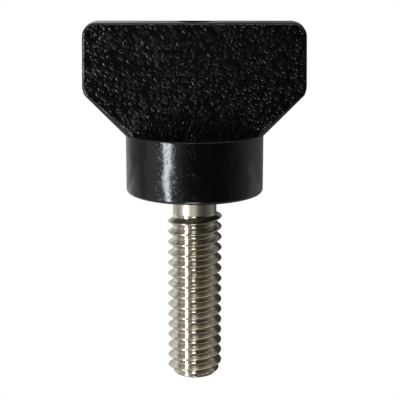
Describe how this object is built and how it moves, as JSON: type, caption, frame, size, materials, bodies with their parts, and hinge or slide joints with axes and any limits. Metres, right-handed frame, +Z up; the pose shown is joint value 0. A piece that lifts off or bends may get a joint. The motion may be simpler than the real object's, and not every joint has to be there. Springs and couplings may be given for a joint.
{
  "type": "thumb screw",
  "caption": "Thumb screw lying down: flat moulded plastic wing on a round hub, with a threaded stainless stud for tightening by hand.",
  "frame": {"origin": "centre of the hub's round seating face, on the stud's axis", "axes": "+Z up from the surface the screw lies on; +Y level, over the stud's axis and towards the wing, so the stud points to -Y and a little down; +X along the wing, which lies level"},
  "size_m": [0.0254, 0.0417, 0.0169],
  "materials": {
    "head_plastic": "moulded black glass-filled nylon, pebbled faces, smooth glossy hub and edges",
    "stud_steel": "rolled stainless steel thread, bright"
  },
  "bodies": {
    "root": {"head": "head_plastic", "stud": "stud_steel"}
  },
  "joints": []
}
